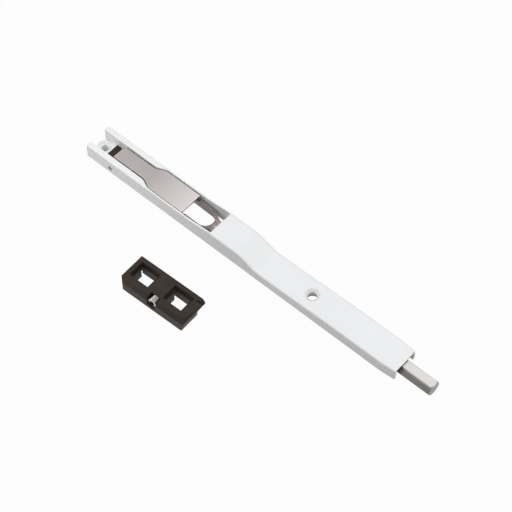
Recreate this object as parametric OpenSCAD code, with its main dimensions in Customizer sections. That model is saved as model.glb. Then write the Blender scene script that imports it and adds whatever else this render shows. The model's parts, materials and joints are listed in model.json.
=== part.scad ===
// Lever-operated flush bolt with a hexagonal rod, and its loose floor keeper.
// Millimetres, +Z out of the face. X runs from the lever end towards the rod.
// The origin is the axis of the end fixing hole, at the back of the side walls.

/* [Housing] */
// Length of the housing
body_l = 217; // [214:1:240]
// Width of the housing and of the cover
body_w = 18; // [17.6:0.2:21]
// Distance from the lever end of the housing to the end fixing hole
end_inset = 4.7; // [4.4:0.1:6]
// Height of the rims beside the lever, above the back of the side walls
rim_h = 9.4; // [9.3:0.1:10]
// Thickness of the side walls beside the rod
wall_t = 1.2; // [1:0.1:1.6]
// Depth of the keel below the side walls
keel_d = 3.4; // [3:0.1:4.5]
// Gap on each side between the slide and the keel, which drops into the groove of the door
slide_room = 0.6; // [0.5:0.05:0.8]
// Thickness of each keel wall
keel_t = 1.2; // [1:0.1:1.5]
// Thickness of the end web that takes the fixing screw
web_t = 4; // [3:0.1:4.5]
// Thickness of the plastic stop between the web and the tail of the lever
stop_l = 3.3; // [2.8:0.1:3.6]
// Gap between the stop and the tail of the lever as it swings
tail_gap = 0.3; // [0.2:0.05:0.6]
// Thickness of the ledges that carry the keel
ledge_t = 1; // [0.8:0.1:1.2]
// Distance from the lever's tip to the end of the keel under it
keel_stop = 9.5; // [9:0.5:12]
// Depth of the open mouth at the rod end, up to the guide
mouth_l = 5.5; // [4:0.5:8]

/* [Face] */
// Thickness of the cover plate
cover_t = 1.2; // [1:0.1:1.4]
// Height of the face where the cover starts
crest_h = 10.8; // [10.6:0.1:12]
// Height of the face in the dip past the crest
dip_h = 6.1; // [6:0.1:7]
// Height of the face at the rod end
nose_h = 7.5; // [7.3:0.1:9]
// Length of the rise from the rims to the crest
rise_l = 16; // [10:1:20]
// Flat length of the crest past the start of the cover
crest_l = 17; // [14:1:20]
// Length of the ramp from the crest down to the dip
ramp_l = 17; // [14:1:22]
// Length over which the face climbs again from the dip
climb_l = 62; // [40:1:66]
// Length of the narrowed nose
nose_taper_l = 9; // [6:1:14]
// How much each side of the nose steps in
nose_taper = 0.7; // [0.3:0.1:0.8]

/* [Fixing holes] */
// Diameter of the end fixing hole
end_hole_d = 4.2; // [4:0.1:5]
// Diameter of the fixing hole in the cover
cover_hole_d = 5.2; // [4.5:0.1:5.6]
// Diameter of the countersinks at the face
sink_d = 8.2; // [7.8:0.1:9]
// Distance from the rod end of the housing to the fixing hole in the cover
cover_hole_from_nose = 61.3; // [58:0.5:66]

/* [Lever] */
// Distance from the end fixing hole to the lever pivot
pivot_x = 13.5; // [13.2:0.1:15]
// Height of the lever pivot
pivot_z = 4.6; // [4.5:0.05:4.8]
// Length of the lever past its pivot
lever_reach = 51.8; // [50:0.2:56]
// Length of the lever behind its pivot
lever_tail = 1.7; // [1:0.1:2]
// Width of the lever's neck
lever_neck_w = 9.2; // [8.8:0.1:9.6]
// Gap on each side of the lever's neck
neck_gap = 0.85; // [0.6:0.05:1]
// Width of the lever's finger plate
lever_wide_w = 15.2; // [14.8:0.1:15.4]
// Thickness of the lever plate
lever_t = 2.1; // [1.9:0.1:2.4]
// Length of the straight neck, from the pivot
neck_l = 20; // [19.5:0.5:22]
// Length over which the neck widens to the finger plate
flare_l = 8.5; // [7:0.5:10]
// Gap on each side of the finger plate
lever_gap = 0.45; // [0.3:0.05:0.5]
// How far the face of the finger plate slopes down to its tip
lever_slope = 0.5; // [0.2:0.1:0.8]
// Radius of the lever's hub
hub_r = 3; // [2.6:0.1:3.2]
// Length of the finger opening between the lever and the cover
opening_l = 21.5; // [18:0.5:24]
// Angle that the lever swings out to
lever_swing = 100; // [90:1:100]

/* [Crank and yoke] */
// Distance from the lever pivot to the crank pin
crank_r = 15; // [14:0.5:15.5]
// Diameter of the lever pivot pin
pivot_pin_d = 3; // [2.5:0.1:3.2]
// Diameter of the crank pin
crank_pin_d = 2.4; // [2:0.1:2.6]
// Thickness of the lug under the lever
lug_t = 3.8; // [3:0.1:4.2]
// Thickness of each arm of the yoke
arm_t = 1.7; // [1.4:0.1:2]
// Height of the yoke, and diameter of its eyes
yoke_h = 4; // [3.6:0.1:4]
// Outer width of the yoke round the finger hole
yoke_wide_w = 13.8; // [13.4:0.1:14]
// How much higher the yoke stands round the end of the finger hole
ring_rise = 1.4; // [0.8:0.1:1.4]
// Width of the yoke's neck, under the cover
yoke_neck_w = 7.6; // [7:0.2:8.4]
// Width of the yoke's tongue, between the cheeks of the slide
tongue_w = 4; // [3.4:0.1:4.4]
// Thickness of the yoke's walls beside the finger hole
yoke_wall_t = 1.3; // [1.1:0.1:1.6]
// Length of the finger hole in the yoke
finger_hole_l = 25; // [20:0.5:25]
// Distance from the lever pivot to the far end of the finger hole
finger_hole_x = 67.5; // [66:0.5:68]
// Distance from the lever pivot to the pin that joins yoke and slide
link_x = 90.5; // [89:0.5:93]

/* [Slide and rod] */
// Width of the slide
slide_w = 10.4; // [9.8:0.1:10.6]
// Thickness of the slide
slide_t = 3; // [2.8:0.1:3.2]
// Height of the middle of the slide and of the rod
rod_z = 1.5; // [1.4:0.1:1.6]
// Width of the slot that passes the fixing screw
slot_w = 6.8; // [6.2:0.1:7]
// Diameter of the pin that joins yoke and slide
link_pin_d = 3; // [2.6:0.1:3.2]
// Size of the hexagonal rod across its flats
rod_af = 8; // [7:0.5:8]
// Length of rod that stands out when the bolt is thrown
rod_out = 19; // [17:0.5:19.5]
// Diameter of the spring pin that holds the rod to the slide
rod_pin_d = 2.5; // [2:0.1:3]
// Length of the lap between the slide and the rod
lap_l = 11; // [9:0.5:13]
// Length of the guide at the rod end
nose_guide_l = 12; // [10:0.5:14]
// Length of the guide under the slide
slide_guide_l = 10; // [8:0.5:12]
// Thickness of the detent spring
spring_t = 0.5; // [0.4:0.05:0.6]
// Length of the detent spring past the guide
spring_l = 17; // [14:0.5:18]
// Depth of the detent notches in the slide
notch_h = 0.9; // [0.8:0.05:1]

/* [Keeper] */
// Length of the keeper
keeper_l = 44; // [42:0.2:48]
// Width of the keeper
keeper_w = 18.2; // [18:0.2:20]
// Height of the keeper
keeper_h = 8.6; // [8:0.1:10]
// Thickness of the lip along the far side of the keeper
keeper_lip_t = 3.6; // [3.4:0.1:4.2]
// Width of the lip along the far side of the keeper
keeper_lip_w = 5.8; // [5.4:0.1:6.2]
// Length of the holes that take the rod, along the keeper
keeper_hole_l = 9.6; // [9.4:0.1:10]
// Width of the holes that take the rod, across the keeper
keeper_hole_w = 8.9; // [8.4:0.1:9]
// Distance between the holes
keeper_pitch = 23; // [22:0.2:24]
// Distance from the near side of the keeper to the holes
keeper_hole_in = 5.4; // [5:0.1:5.6]
// How far the holes are shifted from the set screw, towards the lever end
hole_shift = 1.4; // [0:0.1:1.6]
// Length of the pockets round the holes, along the keeper
pocket_l = 13.2; // [12.6:0.2:13.4]
// Width of the pockets, across the keeper
pocket_w = 10.1; // [9.8:0.1:10.5]
// Depth of the pockets
pocket_h = 2.6; // [2:0.1:2.8]
// Thickness of the rib that closes the holes on the far side, under the lip
rib_t = 1.2; // [1:0.1:1.6]
// Length of the slope at the end of the keeper, beside the rim
slope_l = 4.2; // [3:0.2:4.6]
// Angle at which the slope falls
slope_dip = 28; // [20:1:32]
// How far the end face leans in towards the base
end_lean = 1.2; // [0:0.2:2]
// Diameter of the set screw
set_screw_d = 6; // [5:0.5:6]
// Length of the set screw
set_screw_l = 8; // [6:0.5:9]
// How far the keeper's ends are shifted from the set screw, towards the lever end
keeper_shift = 0.2; // [0:0.1:1]
// Where the keeper's set screw lies along the bolt
keeper_x = 89.6; // [60:0.2:120]
// Where the middle of the keeper lies across the bolt
keeper_y = -48.6; // [-80:0.2:-40]
// How far the keeper is turned
keeper_turn = 2; // [-10:0.5:10]

/* [Clearances] */
// Radial clearance of the pins that turn
run_gap = 0.05; // [0.02:0.01:0.1]
// Clearance each side of the pieces that slide
slide_gap = 0.1; // [0.05:0.01:0.2]
// Gap between pieces that must not rub
free_gap = 0.3; // [0.2:0.05:0.4]

/* [Hidden] */
$fn = 64;
// How far a cut runs past what it cuts, and a height that clears every piece
over = 1;
tall = 30;
// How far two solids that are joined run into each other
merge = 0.1;

// Places along the bolt
x0 = -end_inset;
x1 = x0 + body_l;
stop_end = pivot_x - norm([lever_tail, rim_h - pivot_z]) - tail_gap;
web_end = stop_end - stop_l;
floor_end = stop_end + free_gap;
neck_end = pivot_x + neck_l;
flare_end = neck_end + flare_l;
lever_end = pivot_x + lever_reach;
cover_x = lever_end + opening_l;
crest_x = cover_x + crest_l;
dip_x = crest_x + ramp_l;
cover_hole_x = x1 - cover_hole_from_nose;
link_pin_x = pivot_x + link_x;
guide_end = x1 - mouth_l;
keel_start = x0 + 1.5;
keel_a = lever_end - keel_stop;
keel_b = cover_x + crest_l / 10;

// Widths and heights inside the housing
neck_gap_y = lever_neck_w / 2 + neck_gap;
wide_gap_y = lever_wide_w / 2 + lever_gap;
bay_y = body_w / 2 - wall_t;
mouth_y = bay_y - nose_taper;
keel_y = slide_w / 2 + slide_room;
back_y = min(neck_gap_y, keel_y);
floor_z = -keel_d;
web_inset = 0.6;
pad_l = 3;
pad_w = 1;
pad_h = 2;

// The crank pin starts level with the pivot, and the yoke runs from it to the link pin
crank_x = pivot_x + crank_r;
yoke_l = norm([link_pin_x - crank_x, pivot_z - rod_z]);
yoke_tilt = asin((pivot_z - rod_z) / yoke_l);
open_tilt = asin((pivot_z + crank_r * sin(lever_swing) - rod_z) / yoke_l);
rod_travel = link_pin_x - pivot_x - crank_r * cos(lever_swing) - yoke_l * cos(open_tilt);

// Places along the slide
slot_r = slot_w / 2;
slot_spare = 0.3;
slot_a = cover_hole_x - slot_r + slot_spare;
slot_b = cover_hole_x + rod_travel + slot_r - slot_spare;
slide_end = slot_b + 3;
slide_low = rod_z - slide_t / 2;
slide_high = rod_z + slide_t / 2;
cheek_l = 5;
cheek_h = 6;
cheek_y = tongue_w / 2 + slide_gap;
clip_t = 0.4;
clip_groove = 0.8;
guide_a = crest_x + ramp_l * 0.7;
guide_b = guide_a + slide_guide_l;
spring_a = guide_a + 2;
spring_end = guide_b + spring_l;
spring_w = slide_w - 2;
spring_z = floor_z + 0.9;
detent_x = spring_end - 3;
detent_r = 0.6;
bump_h = 0.4;

// The arms of the yoke, beside the lever's lug
fork_y = lug_t / 2 + slide_gap;
arm_y = fork_y + arm_t;
pin_head = 0.4;

// Places in the keeper
keeper_a = -keeper_l / 2 - keeper_shift;
keeper_b = keeper_l / 2 - keeper_shift;
hole_near = -keeper_w / 2 + keeper_hole_in;
hole_far = hole_near + keeper_hole_w;
rim_y = hole_near + pocket_w;
lip_y = keeper_w / 2 - keeper_lip_w;
lip_z = keeper_h - keeper_lip_t;
base_undercut = 0.5;

// Place of the set screw in the keeper, and how far it can feed in
screw_z = keeper_h - set_screw_d / 2 - 0.6;
screw_y = -keeper_w / 2 + 0.8;
screw_window = 3.6;
screw_feed = 2;

function ease(t) = (1 - cos(180 * max(0, min(1, t)))) / 2;

// Height of the face at x
function face_z(x) = rim_h + (crest_h - rim_h) * ease((x - cover_x + rise_l) / rise_l)
    - (crest_h - dip_h) * ease((x - crest_x) / ramp_l) + (nose_h - dip_h) * ease((x - dip_x) / climb_l);

// Stations along the face, close together where it bends
stations = concat([x0], [for (i = [0:6]) cover_x - rise_l + i * rise_l / 6],
    [for (i = [0:10]) crest_x + i * ramp_l / 10], [for (i = [1:8]) dip_x + i * climb_l / 8], [x1]);

// The face as a line from xa to xb, lowered by drop
function face_line(xa, xb, drop) = concat([[xa, face_z(xa) - drop]],
    [for (x = stations) if (x > xa + 0.01 && x < xb - 0.01) [x, face_z(x) - drop]],
    [[xb, face_z(xb) - drop]]);

function reversed(list) = [for (i = [len(list) - 1:-1:0]) list[i]];

// Where the crank pin is in the lever's own frame, a share t of the way through the swing
function pin_x(t) = link_pin_x - rod_travel * t - pivot_x
    - yoke_l * cos(yoke_tilt + (open_tilt - yoke_tilt) * t);
function pin_z(t) = rod_z - pivot_z + yoke_l * sin(yoke_tilt + (open_tilt - yoke_tilt) * t);
function pin_in_lever(t) = [
    pin_x(t) * cos(lever_swing * t) + pin_z(t) * sin(lever_swing * t),
    pin_z(t) * cos(lever_swing * t) - pin_x(t) * sin(lever_swing * t)];

// An outline in XZ, as thick as w and centred on Y = 0
module across(w) {
    rotate([90, 0, 0]) linear_extrude(height = w, center = true) children();
}

// A box from one corner to the opposite one
module block(a, b) {
    translate(a) cube(b - a);
}

// A round bar along Y at x, z
module bar_y(x, z, r, w) {
    translate([x, 0, z]) rotate([90, 0, 0]) cylinder(r = r, h = w, center = true);
}

// A hexagonal bar along X, flat on top
module hex_x(xa, xb, af) {
    translate([xa, 0, rod_z]) rotate([0, 90, 0]) rotate(30)
        cylinder(d = af / cos(30), h = xb - xa, $fn = 6);
}

// A round-ended bar from point a to point b
module capsule(a, b, r) {
    translate(a) circle(r);
    translate(b) circle(r);
    translate(a) rotate(atan2(b.y - a.y, b.x - a.x)) translate([0, -r]) square([norm(b - a), 2 * r]);
}

// Half of an outline that eases from half-width ya at xa to yb at xb
function eased(xa, ya, xb, yb) = [for (i = [0:8]) [xa + (xb - xa) * i / 8, ya + (yb - ya) * ease(i / 8)]];

// An outline from its upper half, mirrored about the X axis
module both_sides(half) {
    polygon(concat(half, [for (p = reversed(half)) [p.x, -p.y]]));
}

// The lever's outline, with the half-widths of its neck and of its finger plate
module lever_outline(neck_y, wide_y, xa, xb) {
    both_sides(concat([[xa, neck_y]], eased(neck_end, neck_y, flare_end, wide_y), [[xb, wide_y]]));
}

// A countersunk hole down from z at x, with a straight part that runs on below it
module sunk_hole(x, z, d) {
    translate([x, 0, z]) {
        translate([0, 0, -tall]) cylinder(d = d, h = tall + over);
        translate([0, 0, -(sink_d - d) / 2]) cylinder(d1 = d, d2 = sink_d, h = (sink_d - d) / 2);
        cylinder(d = sink_d, h = over);
    }
}

// The corners that the narrowed nose loses
module nose_corners() {
    taper_x = x1 - nose_taper_l;
    tip_y = body_w / 2 - nose_taper * (1 + over / nose_taper_l);
    out_y = body_w / 2 + over;
    for (s = [-1, 1]) translate([0, 0, floor_z - over]) linear_extrude(height = tall)
        polygon([[taper_x, s * body_w / 2], [x1 + over, s * tip_y],
            [x1 + over, s * out_y], [taper_x, s * out_y]]);
}

module housing() {
    color("whitesmoke") difference() {
        union() {
            across(body_w) polygon(concat([[x0, 0]], face_line(x0, cover_x, 0),
                face_line(cover_x, x1, cover_t), [[x1, 0]]));
            for (span = [[keel_start, keel_a], [keel_b, guide_end]])
                block([span.x, -keel_y - keel_t, floor_z], [span.y, keel_y + keel_t, ledge_t / 2]);
        }
        // the cut-out that follows the lever, open down to the ledges
        translate([0, 0, ledge_t]) linear_extrude(height = tall)
            lever_outline(neck_gap_y, wide_gap_y, web_end, cover_x + 0.01);
        // through the back between the keel walls, and full width under the finger opening
        block([floor_end, -back_y, floor_z - over], [keel_a, back_y, ledge_t + over]);
        block([neck_end, -keel_y, floor_z - over], [x1 + over, keel_y, ledge_t + over]);
        block([keel_a, -wide_gap_y, floor_z - over], [keel_b, wide_gap_y, ledge_t + over]);
        // the channel above the end web, and the web's rounded end
        block([x0 - over, -neck_gap_y, web_t], [web_end + 0.01, neck_gap_y, tall]);
        difference() {
            block([x0 - over, -neck_gap_y, floor_z - over], [0, neck_gap_y, tall]);
            cylinder(r = end_inset - web_inset, h = 2 * tall, center = true);
        }
        sunk_hole(0, web_t, end_hole_d);
        // the bay under the cover, and the mouth that the rod comes out of
        block([cover_x - 0.01, -bay_y, ledge_t], [guide_end, bay_y, tall]);
        block([guide_end - 0.01, -mouth_y, floor_z - over], [x1 + over, mouth_y, tall]);
        nose_corners();
        bar_y(pivot_x, pivot_z, pivot_pin_d / 2, body_w + 2 * over);
    }
    color("whitesmoke") rest_pads();
}

// Two pads inside the walls, on which the finger plate lies
module rest_pads() {
    pad_x = flare_end + 0.5 + pad_l / 2;
    pad_y = wide_gap_y - (pad_w - merge) / 2;
    pad_z = rim_h - lever_t - run_gap - pad_h / 2;
    for (s = [-1, 1]) translate([pad_x, s * pad_y, pad_z])
        cube([pad_l, pad_w + merge, pad_h], center = true);
}

module cover() {
    skirt_x = cover_x + 2;
    skirt_end = guide_end - nose_guide_l - free_gap;
    skirt_t = 1;
    skirt_low = ledge_t + slide_gap;
    boss_wall = 1;
    boss_low = slide_high + free_gap;
    color("gainsboro") difference() {
        union() {
            across(body_w)
                polygon(concat(face_line(cover_x, x1, 0), reversed(face_line(cover_x, x1, cover_t))));
            for (s = [-1, 1]) translate([0, s * (bay_y - (slide_gap + skirt_t) / 2), 0]) across(skirt_t)
                polygon(concat([[skirt_x, skirt_low]], face_line(skirt_x, skirt_end, cover_t / 2),
                    [[skirt_end, skirt_low]]));
            translate([cover_hole_x, 0, boss_low])
                cylinder(d = sink_d + 2 * boss_wall, h = face_z(cover_hole_x) - cover_t / 2 - boss_low);
        }
        sunk_hole(cover_hole_x, face_z(cover_hole_x), cover_hole_d);
        nose_corners();
    }
}

module tail_stop() {
    stop_y = neck_gap_y - slide_gap;
    color("black") block([web_end, -stop_y, ledge_t], [stop_end, stop_y, web_t - 0.4]);
}

module pivot_pin() {
    color("silver") bar_y(pivot_x, pivot_z, pivot_pin_d / 2, body_w - 2 * slide_gap);
}

module pivot_washers() {
    color("white") for (s = [-1, 1])
        translate([pivot_x, s * (lever_neck_w / 2 + neck_gap / 2), pivot_z]) rotate([90, 0, 0]) difference() {
            cylinder(r = hub_r - 0.2, h = neck_gap - slide_gap, center = true);
            cylinder(r = pivot_pin_d / 2 + run_gap, h = 2 * neck_gap, center = true);
        }
}

module lever() {
    plate_low = rim_h - lever_t;
    plate_z = plate_low - pivot_z + merge;
    slot_wall = 1.2;
    path = [for (i = [0:8]) pin_in_lever(i / 8)];
    pin_room = crank_pin_d / 2 + 0.15;
    lug_low = min([for (p = path) p.y]) - pin_room - slot_wall;
    lug_end = crank_r + pin_room + slot_wall;
    lug_bevel = 1.5;
    eye_room = arm_t + slide_gap + 2 * pin_head + 0.2;
    eye_high = yoke_h / 2 + max([for (p = path) p.y]) + free_gap;
    color("silver") difference() {
        union() {
            translate([0, 0, plate_low]) linear_extrude(height = lever_t)
                lever_outline(lever_neck_w / 2, lever_wide_w / 2, pivot_x - lever_tail, lever_end);
            bar_y(pivot_x, pivot_z, hub_r, lever_neck_w);
            block([pivot_x - lever_tail, -lever_neck_w / 2, pivot_z],
                [pivot_x + hub_r, lever_neck_w / 2, plate_low + merge]);
            translate([pivot_x, 0, pivot_z]) across(lug_t)
                polygon([[0, lug_low + lug_bevel], [hub_r, lug_low], [lug_end - lug_bevel, lug_low],
                    [lug_end, lug_low + lug_bevel], [lug_end, plate_z], [0, plate_z]]);
        }
        bar_y(pivot_x, pivot_z, pivot_pin_d / 2 + run_gap, body_w);
        // the slope of the finger plate
        across(body_w) polygon([[flare_end, rim_h], [lever_end + over, rim_h - lever_slope],
            [lever_end + over, rim_h + over], [flare_end, rim_h + over]]);
        // the crank slot, shaped by the path that the crank pin takes in it
        translate([pivot_x, 0, pivot_z]) across(lug_t + over) {
            for (i = [0:7]) capsule(path[i], path[i + 1], pin_room);
            polygon(path);
        }
        // room for the yoke's eyes under the plate
        for (s = [-1, 1]) translate([pivot_x, s * (lug_t + eye_room) / 2, pivot_z]) across(eye_room)
            translate([crank_r * 0.45, 0]) square([lug_end + eye_room / 2 - crank_r * 0.45, eye_high]);
    }
}

// Puts its children, drawn with the crank eye at the origin, where the yoke lies at rest
module in_yoke() {
    translate([crank_x, 0, pivot_z]) rotate([0, yoke_tilt, 0]) children();
}

module yoke() {
    ring_y = yoke_wide_w / 2;
    neck_y = yoke_neck_w / 2;
    hole_y = ring_y - yoke_wall_t;
    hole_b = finger_hole_x - crank_r;
    hole_a = hole_b - finger_hole_l;
    neck_a = hole_b + 2.5;
    neck_b = yoke_l - 10;
    step_l = 2;
    rise_a = hole_b - 3 * hole_y;
    rise_b = neck_a + step_l;
    top = yoke_h / 2;
    color("dimgray") in_yoke() difference() {
        union() {
            translate([0, 0, -top]) linear_extrude(height = yoke_h + ring_rise)
                both_sides(concat([[0, arm_y]], eased(hole_a - 4, arm_y, hole_a + hole_y, ring_y),
                    eased(hole_b - hole_y + 0.6, ring_y, neck_a, neck_y),
                    [[neck_b, neck_y], [neck_b + step_l, tongue_w / 2], [yoke_l, tongue_w / 2]]));
            bar_y(0, 0, top, 2 * arm_y);
            bar_y(yoke_l, 0, top, tongue_w);
        }
        // the top steps up to the end of the finger hole, and down again to the neck
        across(2 * yoke_wide_w) polygon([[-yoke_h, top], [rise_a, top], [rise_a + step_l, top + ring_rise],
            [rise_b, top + ring_rise], [rise_b + step_l, top], [2 * yoke_l, top],
            [2 * yoke_l, tall], [-yoke_h, tall]]);
        // between the arms
        block([-yoke_h, -fork_y, -yoke_h], [crank_r, fork_y, yoke_h]);
        // the finger hole
        translate([0, 0, -yoke_h]) linear_extrude(height = 3 * yoke_h)
            capsule([hole_a + hole_y, 0], [hole_b - hole_y, 0], hole_y);
        bar_y(0, 0, crank_pin_d / 2, 2 * arm_y + over);
        bar_y(yoke_l, 0, link_pin_d / 2 + run_gap, tongue_w + over);
    }
}

module crank_pin() {
    color("silver") in_yoke() {
        bar_y(0, 0, crank_pin_d / 2, 2 * arm_y);
        for (s = [-1, 1]) translate([0, s * (arm_y + pin_head / 2), 0])
            bar_y(0, 0, crank_pin_d / 2 + 0.5, pin_head);
    }
}

module slide() {
    groove_h = bump_h + slide_gap;
    groove_spare = 1.5;
    cheek_a = link_pin_x - cheek_l;
    cheek_b = link_pin_x + cheek_l;
    color("slategray") difference() {
        union() {
            block([link_pin_x, -slide_w / 2, slide_low], [slide_end, slide_w / 2, slide_high]);
            block([cheek_a, -slide_w / 2, rod_z - cheek_h / 2], [cheek_b, slide_w / 2, rod_z + cheek_h / 2]);
            block([slide_end - over, -rod_af / 3, slide_low], [slide_end + lap_l, rod_af / 3, slide_high]);
        }
        // between the cheeks
        block([cheek_a - over, -cheek_y, -cheek_h],
            [link_pin_x + yoke_h / 2 + free_gap, cheek_y, 2 * cheek_h]);
        // the slot for the fixing screw
        translate([0, 0, slide_low - over]) linear_extrude(height = slide_t + 2 * over)
            capsule([slot_a + slot_r, 0], [slot_b - slot_r, 0], slot_r);
        // the groove and the two notches for the detent spring
        block([detent_x - groove_spare, -slide_w, slide_low - over],
            [detent_x + rod_travel + groove_spare, slide_w, slide_low + groove_h]);
        for (x = [detent_x, detent_x + rod_travel])
            bar_y(x, slide_low - detent_r, detent_r + notch_h, slide_w + over);
        bar_y(link_pin_x, rod_z, link_pin_d / 2, slide_w + over);
        translate([slide_end + lap_l / 2, 0, rod_z - rod_af]) cylinder(d = rod_pin_d, h = 2 * rod_af);
    }
}

module link_pin() {
    // a head on the far side, and a groove on the near side for the clip
    color("silver") translate([link_pin_x, 0, rod_z]) rotate([90, 0, 0]) {
        translate([0, 0, -slide_w / 2]) cylinder(d = link_pin_d, h = slide_w);
        translate([0, 0, -slide_w / 2 - clip_t]) cylinder(d = link_pin_d + 1.2, h = clip_t);
        translate([0, 0, slide_w / 2 - 0.1]) cylinder(d = link_pin_d - clip_groove, h = clip_t + 0.2);
        translate([0, 0, slide_w / 2 + clip_t]) cylinder(d = link_pin_d, h = 0.15);
    }
}

module link_clip() {
    clip_mouth = link_pin_d * 0.6;
    color("dimgray") translate([link_pin_x, -slide_w / 2 - clip_t / 2, rod_z]) rotate([90, 0, 0])
        difference() {
            cylinder(d = link_pin_d + 1.8, h = clip_t, center = true);
            cylinder(d = link_pin_d - clip_groove, h = 2 * clip_t, center = true);
            translate([0, -link_pin_d, 0]) cube([clip_mouth, 2 * link_pin_d, 2 * clip_t], center = true);
        }
}

module rod() {
    rod_a = slide_end + free_gap;
    rod_b = x1 + rod_out;
    bevel = 0.6;
    corner_r = rod_af / 2 / cos(30);
    bevel_x = rod_b - rod_a - 2 * bevel;
    color("gainsboro") difference() {
        intersection() {
            hex_x(rod_a, rod_b, rod_af);
            translate([rod_a, 0, rod_z]) rotate([0, 90, 0]) {
                translate([0, 0, -over]) cylinder(r = corner_r + over, h = bevel_x + over);
                translate([0, 0, bevel_x])
                    cylinder(r1 = corner_r + bevel, r2 = corner_r - bevel, h = 2 * bevel);
            }
        }
        block([rod_a - over, -rod_af, slide_low - slide_gap / 2],
            [slide_end + lap_l + free_gap, rod_af, slide_high + slide_gap / 2]);
        translate([slide_end + lap_l / 2, 0, rod_z - rod_af]) cylinder(d = rod_pin_d, h = 2 * rod_af);
    }
}

module rod_pin() {
    pin_l = rod_af - 0.4;
    split_w = 0.4;
    color("silver") translate([slide_end + lap_l / 2, 0, rod_z - pin_l / 2]) difference() {
        cylinder(d = rod_pin_d, h = pin_l);
        translate([0, 0, -over]) cylinder(d = rod_pin_d / 2, h = rod_af + over);
        translate([0, -split_w / 2, -over]) cube([rod_pin_d, split_w, rod_af + over]);
    }
}

module nose_guide() {
    guide_x = guide_end - nose_guide_l;
    guide_top = face_z(guide_x) - cover_t - slide_gap;
    head_y = bay_y - slide_gap;
    foot_y = keel_y - slide_gap;
    color("black") difference() {
        union() {
            block([guide_x, -head_y, ledge_t + slide_gap / 2], [guide_end, head_y, guide_top]);
            block([guide_x, -foot_y, floor_z + slide_gap], [guide_end, foot_y, ledge_t + over]);
        }
        hex_x(guide_x - over, x1, rod_af + 2 * slide_gap);
    }
}

module slide_guide() {
    shoulder_y = bay_y - 1.2;
    foot_y = keel_y - slide_gap;
    slot_y = slide_w / 2 + slide_gap;
    color("black") difference() {
        union() {
            block([guide_a, -foot_y, floor_z + slide_gap], [guide_b, foot_y, ledge_t + slide_gap]);
            block([guide_a, -shoulder_y, ledge_t + slide_gap / 2], [guide_b, shoulder_y, slide_high + 1]);
        }
        // the slot that the slide runs in, and the one that grips the spring
        block([guide_a - over, -slot_y, slide_low - slide_gap],
            [guide_b + over, slot_y, slide_high + slide_gap]);
        block([spring_a, -spring_w / 2, spring_z], [guide_b + over, spring_w / 2, spring_z + spring_t]);
    }
}

module detent_spring() {
    crest_z = slide_low - spring_t - free_gap;
    tail_drop = 1.2;
    // the strip rises to its bump and falls away again
    line = concat([[spring_a, spring_z]], eased(guide_b, spring_z, detent_x, crest_z),
        [[spring_end, crest_z - tail_drop]]);
    color("darkgray") intersection() {
        union() {
            across(spring_w) polygon(concat(line, [for (p = reversed(line)) [p.x, p.y + spring_t]]));
            bar_y(detent_x, slide_low - detent_r, detent_r + bump_h, spring_w);
        }
        block([guide_a, -slide_w, floor_z], [spring_end, slide_w, slide_low + bump_h]);
    }
}

// Puts its children, drawn on the middle of the keeper's back, where the keeper lies
module in_keeper() {
    translate([keeper_x, keeper_y, floor_z]) rotate(keeper_turn) children();
}

module keeper() {
    screw_bore = set_screw_d + 2 * run_gap;
    screw_deep = keeper_w / 2 + screw_y + set_screw_l + screw_feed + free_gap;
    bevel_w = 2;
    bevel_h = 2.4;
    tip_l = 1.6;
    tip_h = 2.2;
    slope_turn = 11;
    rib_x = keeper_pitch / 2 + keeper_hole_l / 2 + rib_t;
    color("black") in_keeper() difference() {
        intersection() {
            union() {
                across_x(2 * keeper_l) polygon([[-keeper_w / 2, 0], [lip_y, 0], [lip_y, lip_z],
                    [keeper_w / 2, lip_z], [keeper_w / 2, keeper_h], [bevel_w - keeper_w / 2, keeper_h],
                    [-keeper_w / 2, keeper_h - bevel_h]]);
                // the rib that closes the holes
                block([-rib_x - hole_shift, hole_far, 0],
                    [rib_x - hole_shift, hole_far + rib_t, lip_z + merge]);
            }
            // the ends, one of which leans in
            across(2 * keeper_w) polygon([[keeper_a + base_undercut, 0], [keeper_a, keeper_h / 3],
                [keeper_a, keeper_h], [keeper_b - tip_l, keeper_h], [keeper_b, keeper_h - tip_h],
                [keeper_b - end_lean, 0]]);
        }
        for (s = [-1, 1]) translate([s * keeper_pitch / 2 - hole_shift, 0, 0]) {
            block([-keeper_hole_l / 2, hole_near, -over], [keeper_hole_l / 2, hole_far, keeper_h]);
            hull() {
                translate([0, hole_near + pocket_w / 2, keeper_h + 0.01])
                    cube([pocket_l, pocket_w, 0.02], center = true);
                translate([0, (hole_near + hole_far) / 2 + 0.1, keeper_h - pocket_h])
                    cube([keeper_hole_l + 2, keeper_hole_w + 0.2, 0.02], center = true);
            }
        }
        // the slope between the rim and the near side, which narrows towards the near side
        translate([keeper_b - slope_l, rim_y, keeper_h]) rotate([0, slope_dip, slope_turn])
            block([0, -2 * keeper_w, 0], [3 * slope_l, 0, keeper_h]);
        // the cut corner
        translate([keeper_a, -keeper_w / 2, 0]) rotate(45) cube([3, 3, 4 * keeper_h], center = true);
        // the hole of the set screw, open at the top where a key goes in
        translate([0, -keeper_w / 2 - over, screw_z]) rotate([-90, 0, 0])
            cylinder(d = screw_bore, h = over + screw_deep);
        block([-screw_bore / 2, -keeper_w / 2 - over, screw_z],
            [screw_bore / 2, screw_y + screw_window, 2 * keeper_h]);
    }
}

// An outline in YZ, as long as l and centred on X = 0
module across_x(l) {
    rotate([90, 0, 90]) linear_extrude(height = l, center = true) children();
}

module keeper_screw() {
    color("silver") in_keeper() translate([0, screw_y, screw_z]) rotate([-90, 0, 0]) difference() {
        cylinder(d = set_screw_d, h = set_screw_l);
        translate([0, 0, -over]) cylinder(d = set_screw_d / 2 / cos(30), h = 2.5 + over, $fn = 6);
    }
}

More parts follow.
